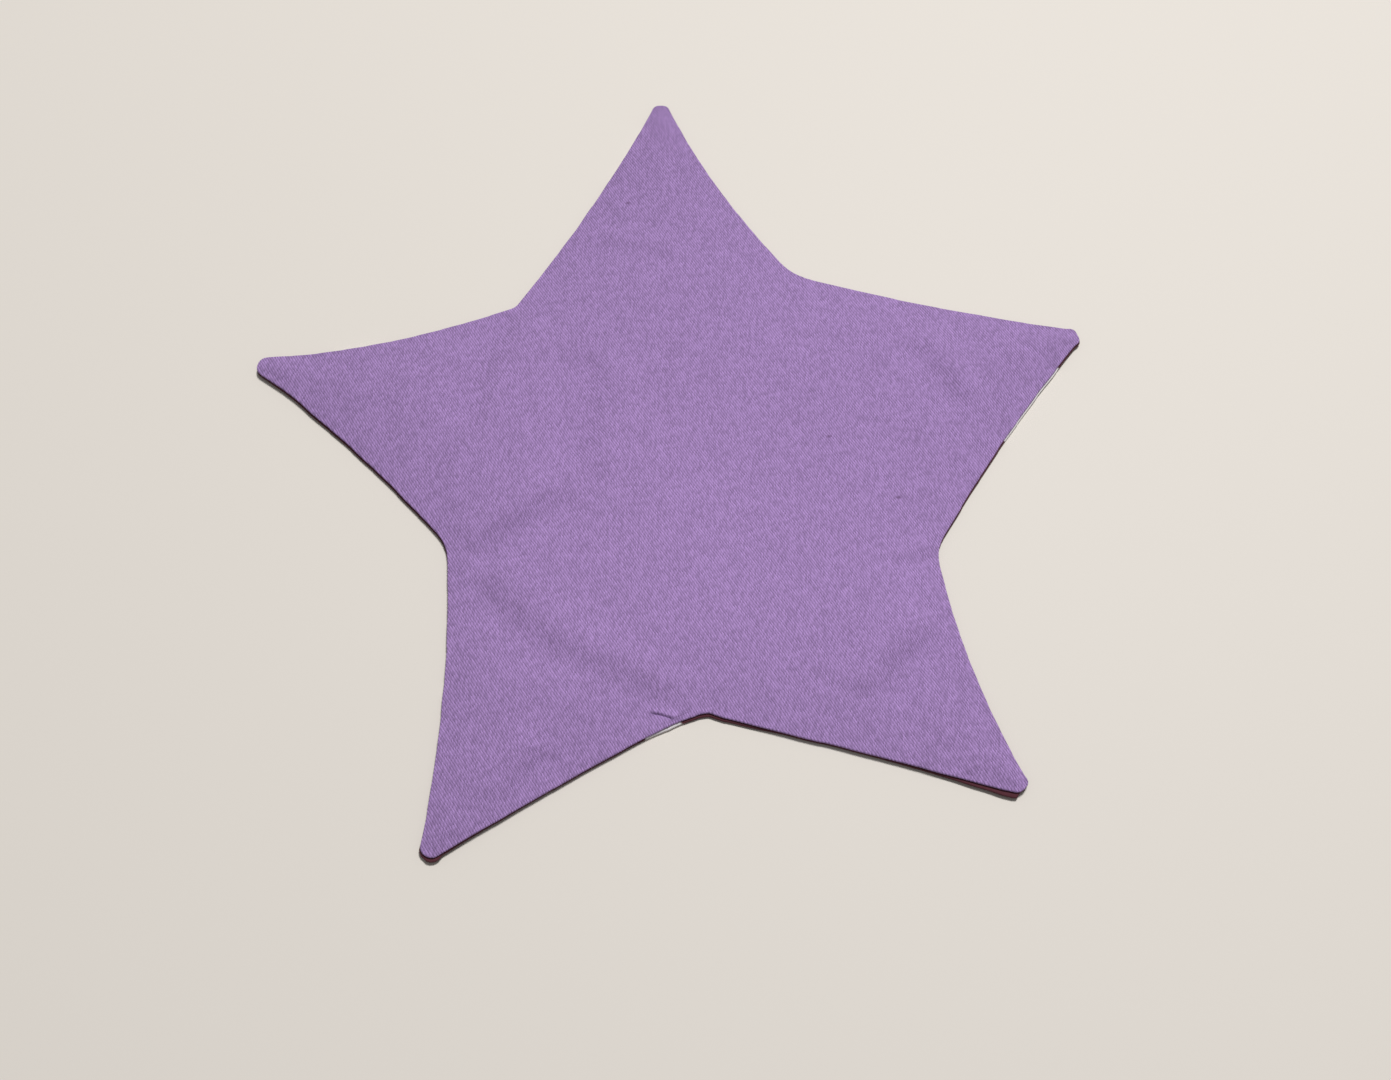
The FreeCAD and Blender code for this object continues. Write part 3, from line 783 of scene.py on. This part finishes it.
hand_points, hand_faces = [], []
for number in range(int(CLOSING_LENGTH / HAND_STITCH_STEP)):
    run = closing_from + (number + 0.5) * HAND_STITCH_STEP
    half = HAND_STITCH_HEIGHT / 2
    low, out = on_rim(run - HAND_STITCH_SLANT, HAND_STITCH_LOW, seam_height - half)
    high, unused = on_rim(run + HAND_STITCH_SLANT, HAND_STITCH_HIGH, seam_height + half)
    add_stitch(hand_points, hand_faces, low, high, out * STITCH_BULGE)
closing = make_piece("closing_stitches", hand_points, hand_faces)
print(seam_count, "machine stitches round the star,", len(seam.data.polygons), "faces")

# %% [markdown]
# Building finishes from nodes.
# A weave is a sum of simple rules, so its shader is written as a chain of small sums. This
# helper keeps such chains short: each call adds one node and returns its output.

# %% A helper for node chains
class Finish:
    """Builds one material's nodes."""

    def __init__(self, name):
        self.material = bpy.data.materials.new(name)
        self.material.use_nodes = True
        self.tree = self.material.node_tree
        self.tree.nodes.clear()
        self.shader = self.tree.nodes.new("ShaderNodeBsdfPrincipled")
        output = self.tree.nodes.new("ShaderNodeOutputMaterial")
        self.tree.links.new(self.shader.outputs["BSDF"], output.inputs["Surface"])

    def put(self, socket, value):
        """Link a node's output to a socket, or write a plain value into it."""
        if isinstance(value, bpy.types.NodeSocket):
            self.tree.links.new(value, socket)
        elif isinstance(value, (tuple, list)) and len(value) == 3 and socket.type == "RGBA":
            socket.default_value = (*value, 1.0)
        else:
            socket.default_value = value

    def math(self, operation, *values):
        """A sum of numbers."""
        node = self.tree.nodes.new("ShaderNodeMath")
        node.operation = operation
        for socket, value in zip(node.inputs, values):
            self.put(socket, value)
        return node.outputs[0]

    def vector(self, operation, *values):
        """A sum of places or directions."""
        node = self.tree.nodes.new("ShaderNodeVectorMath")
        node.operation = operation
        for socket, value in zip(node.inputs, values):
            self.put(socket, value)
        return node.outputs[0]

    def vector_value(self, operation, *values):
        """A sum of places that gives one number, such as a distance."""
        node = self.vector(operation, *values).node
        return node.outputs["Value"]

    def place(self):
        """The place that a point has on the flat cloth."""
        node = self.tree.nodes.new("ShaderNodeAttribute")
        node.attribute_name = "cloth_place"
        return node.outputs["Vector"]

    def split(self, value):
        """The three numbers of a place."""
        node = self.tree.nodes.new("ShaderNodeSeparateXYZ")
        self.put(node.inputs[0], value)
        return node.outputs[0], node.outputs[1], node.outputs[2]

    def join(self, x, y, z):
        """A place made of three numbers."""
        node = self.tree.nodes.new("ShaderNodeCombineXYZ")
        for socket, value in zip(node.inputs, (x, y, z)):
            self.put(socket, value)
        return node.outputs[0]

    def clamped(self, value):
        """A value kept between 0 and 1."""
        return self.math("MINIMUM", self.math("MAXIMUM", value, 0.0), 1.0)

    def noise(self, place, scale, detail=2.0, roughness=0.5):
        """Soft noise, its scale in waves a metre."""
        node = self.tree.nodes.new("ShaderNodeTexNoise")
        self.put(node.inputs["Vector"], place)
        self.put(node.inputs["Scale"], scale)
        self.put(node.inputs["Detail"], detail)
        self.put(node.inputs["Roughness"], roughness)
        return node.outputs["Fac"]

    def random(self, place):
        """A random value that stays the same for one place."""
        node = self.tree.nodes.new("ShaderNodeTexWhiteNoise")
        node.noise_dimensions = "2D"
        self.put(node.inputs["Vector"], place)
        return node.outputs["Value"]

    def mix(self, share, first, second):
        """A colour between two colours."""
        node = self.tree.nodes.new("ShaderNodeMix")
        node.data_type = "RGBA"
        self.put(node.inputs["Factor"], share)
        self.put(node.inputs[6], first)
        self.put(node.inputs[7], second)
        return node.outputs[2]

    def scaled(self, colour, amount):
        """A colour made lighter or darker."""
        node = self.tree.nodes.new("ShaderNodeVectorMath")
        node.operation = "SCALE"
        self.put(node.inputs[0], colour)
        self.put(node.inputs["Scale"], amount)
        return node.outputs[0]

    def bump(self, height, distance, strength=1.0):
        """Let a height shade the surface."""
        node = self.tree.nodes.new("ShaderNodeBump")
        node.inputs["Strength"].default_value = strength
        node.inputs["Distance"].default_value = distance
        self.put(node.inputs["Height"], height)
        self.tree.links.new(node.outputs["Normal"], self.shader.inputs["Normal"])


# %% [markdown]
# The weave.
# In a twill each warp yarn floats over two weft yarns and dives under one, and the step
# moves along by one yarn in each row, which draws the slanting ribs. The cell that a place
# lies in gives the two yarns, and the sum of their numbers, divided by three, says which
# of them is on top. Each stretch where a yarn floats on top gets its own shade. The back
# cloth is a plain weave, where the sum is divided by two.

# %% The pattern of crossing yarns
DRIFT = 0.35
DRIFT_SCALE = 120.0
YARN_ROUND = math.pi * 0.9
WEFT_DEPTH = 0.75


def weave(finish, warp_step, weft_step, turn, repeat):
    """Nodes for crossing yarns: height, share of warp on top, and a random value per yarn."""
    place = finish.place()
    drift = finish.noise(place, DRIFT_SCALE, 1.0)
    drift = finish.math("MULTIPLY", finish.math("SUBTRACT", drift, 0.5), DRIFT * MM)
    x, y, unused = finish.split(place)
    cos_turn, sin_turn = math.cos(turn), math.sin(turn)
    across = finish.math("ADD", finish.math("MULTIPLY", x, cos_turn),
                         finish.math("MULTIPLY", y, sin_turn))
    along = finish.math("SUBTRACT", finish.math("MULTIPLY", y, cos_turn),
                        finish.math("MULTIPLY", x, sin_turn))
    across = finish.math("DIVIDE", finish.math("ADD", across, drift), warp_step * MM)
    along = finish.math("DIVIDE", finish.math("ADD", along, drift), weft_step * MM)
    warp_number = finish.math("FLOOR", across)
    weft_number = finish.math("FLOOR", along)
    warp_side = finish.math("SUBTRACT", finish.math("SUBTRACT", across, warp_number), 0.5)
    weft_side = finish.math("SUBTRACT", finish.math("SUBTRACT", along, weft_number), 0.5)
    total = finish.math("ADD", warp_number, weft_number)
    step = finish.math("FLOORED_MODULO", total, float(repeat))
    warp_top = finish.math("GREATER_THAN", step, 0.5)
    float_place = finish.math("ADD", finish.math("SUBTRACT", step, 0.5), weft_side)
    float_place = finish.math("DIVIDE", float_place, float(repeat - 1))
    warp_round = finish.math("COSINE", finish.math("MULTIPLY", warp_side, YARN_ROUND))
    weft_round = finish.math("COSINE", finish.math("MULTIPLY", weft_side, YARN_ROUND))
    warp_arch = finish.math("SINE", finish.math("MULTIPLY", float_place, math.pi))
    weft_arch = finish.math("COSINE", finish.math("MULTIPLY", warp_side, math.pi))
    warp_height = finish.math("MULTIPLY", warp_round, finish.math("POWER", warp_arch, 0.5))
    weft_height = finish.math("MULTIPLY", weft_round, finish.math("POWER", weft_arch, 0.5))
    height = finish.math("ADD", finish.math("MULTIPLY", warp_top, warp_height),
                         finish.math("MULTIPLY", finish.math("SUBTRACT", 1.0, warp_top),
                                     finish.math("MULTIPLY", weft_height, WEFT_DEPTH)))
    float_number = finish.math("FLOOR", finish.math("DIVIDE", total, float(repeat)))
    return {
        "place": place, "height": height, "warp_top": warp_top,
        "float_random": finish.random(finish.join(warp_number, float_number, 0.0)),
        "warp_random": finish.random(finish.join(warp_number, 3.0, 0.0)),
        "weft_random": finish.random(finish.join(weft_number, 8.0, 0.0)),
    }


# %% [markdown]
# The front cloth's finish.
# The lilac twill is dyed cotton: matt, with a faint heather because the yarns take up the
# dye unevenly, slow patches a little lighter and darker, and a few tiny dark slubs where
# a stray fibre was spun in. The colour is painted lighter round a place right of and below
# the middle and darker towards the arms, which is painted light falloff. The weft is painted
# darker between the ribs and the yarn tops lighter, which is painted shade of the weave.

# %% Lilac cotton twill
LILAC = (0.336, 0.210, 0.452)
TWILL_WARP_STEP = 0.26
TWILL_WEFT_STEP = 0.32
TWILL_TURN = math.radians(-10)
VALLEY_SHADE = 0.66
SLUBS = [(37.0, 4.9), (52.6, -13.6), (-9.7, 82.7)]
SLUB_SIZE = 0.6
SLUB_STRENGTH = 0.6
SLUB_COLOUR = (0.10, 0.05, 0.12)
# painted light falloff: the cloth is painted lighter round this place and darker towards the arms
PAINTED_LIGHT_MIDDLE = (20.0, -15.0)
PAINTED_FALLOFF_RUN = 95.0
PAINTED_FALLOFF_AMOUNT = 0.09


def slub_mask(finish, place):
    """1 on the few small dark slubs of the cloth, 0 elsewhere."""
    mask = None
    for x, y in SLUBS:
        away = finish.vector("SUBTRACT", place, (x * MM, y * MM, 0.0))
        length = finish.vector_value("LENGTH", finish.vector("MULTIPLY", away, (0.6, 1.0, 0.0)))
        near = finish.math("SUBTRACT", 1.0, finish.math("DIVIDE", length, SLUB_SIZE * MM))
        mask = near if mask is None else finish.math("MAXIMUM", mask, near)
    return finish.clamped(finish.math("MULTIPLY", mask, 1.5))


def vary(finish, tone, parts):
    """Add parts that swing around their middle to a tone."""
    for value, amount in parts:
        swing = finish.math("MULTIPLY", finish.math("SUBTRACT", value, 0.5), amount)
        tone = finish.math("ADD", tone, swing)
    return tone


def make_twill():
    """The front cloth's lilac twill."""
    finish = Finish("lilac_twill")
    yarns = weave(finish, TWILL_WARP_STEP, TWILL_WEFT_STEP, TWILL_TURN, 3)
    place = yarns["place"]
    fleck = finish.noise(place, 1800.0, 2.0)
    mottle = finish.noise(place, 260.0, 2.0)
    patch = finish.noise(place, 14.0, 3.0)
    warp_streak = finish.noise(finish.vector("MULTIPLY", place, (1.0, 0.18, 1.0)), 700.0, 1.0)
    weft_streak = finish.noise(finish.vector("MULTIPLY", place, (0.18, 1.0, 1.0)), 700.0, 1.0)
    # painted shade of the weave: the yarn tops are painted lighter than the hollows
    tone = finish.math("ADD", 0.95, finish.math("MULTIPLY", yarns["height"], 0.36))
    tone = vary(finish, tone, ((yarns["float_random"], 0.42), (fleck, 0.22), (mottle, 0.09),
                               (patch, 0.12), (warp_streak, 0.05), (weft_streak, 0.16)))
    # painted light falloff: the tone drops with the distance from a lit place right of and below
    # the middle
    middle = (PAINTED_LIGHT_MIDDLE[0] * MM, PAINTED_LIGHT_MIDDLE[1] * MM, 0.0)
    away = finish.math("DIVIDE", finish.vector_value("DISTANCE", place, middle), PAINTED_FALLOFF_RUN * MM)
    painted_falloff = finish.math("MULTIPLY", finish.math("POWER", away, 2.0), PAINTED_FALLOFF_AMOUNT)
    tone = finish.math("SUBTRACT", tone, finish.math("MINIMUM", painted_falloff, 1.5 * PAINTED_FALLOFF_AMOUNT))
    # painted shade: the weft cells between the ribs are painted darker by VALLEY_SHADE
    shade = finish.math("ADD", VALLEY_SHADE,
                        finish.math("MULTIPLY", yarns["warp_top"], 1.0 - VALLEY_SHADE))
    colour = finish.scaled(LILAC, finish.math("MULTIPLY", tone, shade))
    slub = finish.math("MULTIPLY", slub_mask(finish, place), SLUB_STRENGTH)
    finish.put(finish.shader.inputs["Base Color"], finish.mix(slub, colour, SLUB_COLOUR))
    finish.shader.inputs["Roughness"].default_value = 0.88
    finish.shader.inputs["Specular IOR Level"].default_value = 0.2
    finish.shader.inputs["Sheen Weight"].default_value = 0.1
    finish.shader.inputs["Sheen Roughness"].default_value = 0.5
    fuzz = finish.noise(place, 2600.0, 2.0)
    finish.bump(finish.math("ADD", yarns["height"], finish.math("MULTIPLY", fuzz, 0.5)),
                0.06 * MM, 0.9)
    return finish.material


# %% [markdown]
# The back cloth's finish.
# Hardly any of the back shows from above: a thin line at the lower edges, dark in most
# places and white in a few. It is built here as plum cotton with scattered off-white
# flowers, a common kind of print. Its dark plum ground is partly painted shadow: where it
# stands out at the lower edges, it stands in for the shadow under the star. Two of the
# flowers are placed so that their petals cross the edge where it looks white. A flower is
# four round petals, and folding the plane twice leaves only one of them to draw.

# %% Plum cotton with off-white flowers
# the print's ground colour, also painted shadow: at the lower edges its dark rim stands in for the
# shadow under the star
PLUM_GROUND_AND_SHADOW = (0.095, 0.026, 0.036)
OFF_WHITE = (0.86, 0.82, 0.84)
PLAIN_STEP = 0.3
PETAL_OUT = 5.47
PETAL_RADIUS = 6.44
FLOWERS = [
    # the middle of each flower in mm and its turn in degrees
    (92.9, 9.3, 9.5), (-14.7, -58.6, -26.4), (-2.0, 20.0, 20.0), (-45.0, 12.0, 50.0),
    (33.0, -8.0, 70.0), (-29.0, -26.0, 10.0), (26.0, 46.0, 35.0), (-8.0, 62.0, 5.0),
    (60.0, 26.0, 60.0), (12.0, -40.0, 65.0), (45.0, -46.0, 25.0), (-50.0, -60.0, 15.0),
    (-3.0, 96.0, 40.0), (-84.0, 34.0, 45.0),
]


def flower_mask(finish, place):
    """1 inside the scattered flowers, 0 outside."""
    flat = finish.vector("MULTIPLY", place, (1 / MM, 1 / MM, 0.0))
    nearest = None
    for x, y, degrees in FLOWERS:
        turn = math.radians(degrees)
        away = finish.vector("SUBTRACT", flat, (x, y, 0.0))
        across = finish.vector_value("DOT_PRODUCT", away, (math.cos(turn), math.sin(turn), 0.0))
        along = finish.vector_value("DOT_PRODUCT", away, (-math.sin(turn), math.cos(turn), 0.0))
        folded = finish.vector("ABSOLUTE", finish.join(across, along, 0.0))
        petal = finish.vector_value("DISTANCE", folded, (PETAL_OUT, PETAL_OUT, 0.0))
        nearest = petal if nearest is None else finish.math("MINIMUM", nearest, petal)
    fray = finish.noise(place, 900.0, 2.0)
    ragged = finish.math("MULTIPLY", finish.math("SUBTRACT", fray, 0.5), 0.8)
    edge = finish.math("SUBTRACT", PETAL_RADIUS, finish.math("ADD", nearest, ragged))
    return finish.clamped(finish.math("MULTIPLY", edge, 2.5))


def make_flowered():
    """The back cloth's printed plain cotton."""
    finish = Finish("flowered_cotton")
    yarns = weave(finish, PLAIN_STEP, PLAIN_STEP, math.radians(4), 2)
    place = yarns["place"]
    # painted shade of the weave: the yarn tops are painted lighter than the hollows
    tone = finish.math("ADD", 0.84, finish.math("MULTIPLY", yarns["height"], 0.2))
    tone = vary(finish, tone, ((finish.noise(place, 1500.0, 2.0), 0.16),
                               (finish.noise(place, 25.0, 2.0), 0.08),
                               (yarns["warp_random"], 0.07), (yarns["weft_random"], 0.07)))
    print_colour = finish.mix(flower_mask(finish, place), PLUM_GROUND_AND_SHADOW, OFF_WHITE)
    finish.put(finish.shader.inputs["Base Color"], finish.scaled(print_colour, tone))
    finish.shader.inputs["Roughness"].default_value = 0.85
    finish.shader.inputs["Specular IOR Level"].default_value = 0.2
    finish.shader.inputs["Sheen Weight"].default_value = 0.08
    finish.bump(yarns["height"], 0.04 * MM, 0.7)
    return finish.material


# %% [markdown]
# The thread's finish.
# Sewing thread is polished cotton or polyester, so it shines a little more than the cloth.
# Its twist is modelled, and fine noise stands for the single fibres.

# %% Mauve thread
THREAD_COLOUR = (0.42, 0.25, 0.42)


def make_thread_finish():
    """The mauve sewing thread."""
    finish = Finish("mauve_thread")
    coordinates = finish.tree.nodes.new("ShaderNodeTexCoord").outputs["Object"]
    fibre = finish.noise(coordinates, 4000.0, 3.0)
    tone = finish.math("ADD", 0.75, finish.math("MULTIPLY", fibre, 0.5))
    finish.put(finish.shader.inputs["Base Color"], finish.scaled(THREAD_COLOUR, tone))
    finish.shader.inputs["Roughness"].default_value = 0.55
    finish.bump(fibre, 0.03 * MM, 0.6)
    return finish.material


twill = make_twill()
flowered = make_flowered()
thread_finish = make_thread_finish()
for piece, finish in ((front_cloth, twill), (back_cloth, flowered), (seam, thread_finish),
                      (closing, thread_finish)):
    piece.data.materials.clear()
    piece.data.materials.append(finish)
print("finishes:", [material.name for material in (twill, flowered, thread_finish)])

# %% [markdown]
# Putting each piece in the place of a model node.
# Each piece takes the place of one node of the imported model and moves with its body. The
# node that it replaces is hidden.

for piece, node, finish_slot in (
    (front_cloth, "front_panel", "front_cloth"),
    (back_cloth, "back_panel", "back_cloth"),
    (seam, "seam_thread", "thread"),
    (closing, "closing_thread", "thread"),
):
    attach(piece, "root")
    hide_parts(node)

# %% [markdown]
# The floor.
# A plain pale floor takes the place of the table. It is a little below the underside, so
# that the two don't share one plane.

# %% A pale floor
FLOOR_SIZE = 4.0
FLOOR_DROP = 0.02
FLOOR_COLOUR = (0.70, 0.655, 0.60)


def make_floor():
    """A plain floor just under the star."""
    half = FLOOR_SIZE / 2
    low = back_low.z - FLOOR_DROP * MM
    mesh = bpy.data.meshes.new("floor")
    corners = [(-half, -half, low), (half, -half, low), (half, half, low), (-half, half, low)]
    mesh.from_pydata(corners, [], [(0, 1, 2, 3)])
    floor = bpy.data.objects.new("floor", mesh)
    bpy.context.scene.collection.objects.link(floor)
    finish = Finish("pale_floor")
    finish.shader.inputs["Base Color"].default_value = (*FLOOR_COLOUR, 1.0)
    finish.shader.inputs["Roughness"].default_value = 0.6
    finish.shader.inputs["Specular IOR Level"].default_value = 0.3
    mesh.materials.append(finish.material)
    return floor


make_floor()

# %% [markdown]
# The light.
# One broad lamp above and behind the star draws the creases and shades the edges that
# face the viewer, and an even pale sky fills the rest. Their strengths add up so that a
# colour renders about as it is written.

# %% The lamp and the sky
KEY_DISTANCE = 2.4
KEY_ELEVATION = math.radians(63)
KEY_DIRECTION = math.radians(62)
KEY_SIZE = 0.55
KEY_POWER = 54.0
SKY_STRENGTH = 0.22

key_place = Vector((
    math.cos(KEY_DIRECTION) * math.cos(KEY_ELEVATION),
    math.sin(KEY_DIRECTION) * math.cos(KEY_ELEVATION),
    math.sin(KEY_ELEVATION),
)) * KEY_DISTANCE


def make_lamp(name, place, size, power):
    """A round lamp that points at the star."""
    data = bpy.data.lights.new(name, "AREA")
    data.shape = "DISK"
    data.size = size
    data.energy = power
    lamp = bpy.data.objects.new(name, data)
    lamp.location = place
    lamp.rotation_mode = "QUATERNION"
    lamp.rotation_quaternion = (-Vector(place)).to_track_quat("-Z", "Y")
    bpy.context.scene.collection.objects.link(lamp)
    return lamp


make_lamp("key_lamp", key_place, KEY_SIZE, KEY_POWER)
world = bpy.data.worlds.new("sky")
world.use_nodes = True
world.node_tree.nodes["Background"].inputs["Color"].default_value = (1.0, 1.0, 1.0, 1.0)
world.node_tree.nodes["Background"].inputs["Strength"].default_value = SKY_STRENGTH
bpy.context.scene.world = world
bpy.context.scene.view_settings.view_transform = "Standard"

# %% [markdown]
# The camera.
# The picture was taken from close by, about 65 degrees above the table and a little to the
# left, with the wide view of a phone. The camera stands where the outline of the star fits
# the one in the picture, without shift or blur.

# %% The camera
CAMERA_AIM = Vector((0.0007, -0.0201, 0.0))
CAMERA_DISTANCE = 0.3935
CAMERA_ELEVATION = math.radians(65.1)
CAMERA_AZIMUTH = math.radians(-4.612)
PICTURE_WIDTH = 1391
FOCAL_PIXELS = 1570

back = Vector((
    math.sin(CAMERA_AZIMUTH) * math.cos(CAMERA_ELEVATION),
    -math.cos(CAMERA_AZIMUTH) * math.cos(CAMERA_ELEVATION),
    math.sin(CAMERA_ELEVATION),
))
camera_data = bpy.data.cameras.new("camera")
camera_data.sensor_fit = "HORIZONTAL"
camera_data.sensor_width = 36.0
camera_data.lens = camera_data.sensor_width * FOCAL_PIXELS / PICTURE_WIDTH
camera_data.clip_start = 0.01
camera = bpy.data.objects.new("camera", camera_data)
camera.location = CAMERA_AIM + back * CAMERA_DISTANCE
camera.rotation_mode = "QUATERNION"
camera.rotation_quaternion = (-back).to_track_quat("-Z", "Y")
bpy.context.scene.collection.objects.link(camera)
bpy.context.scene.camera = camera
print("camera at", [round(value, 3) for value in camera.location])

# %% [markdown]
# The last step.
# The scene is brought up to date.

# %% Finish
bpy.context.view_layer.update()
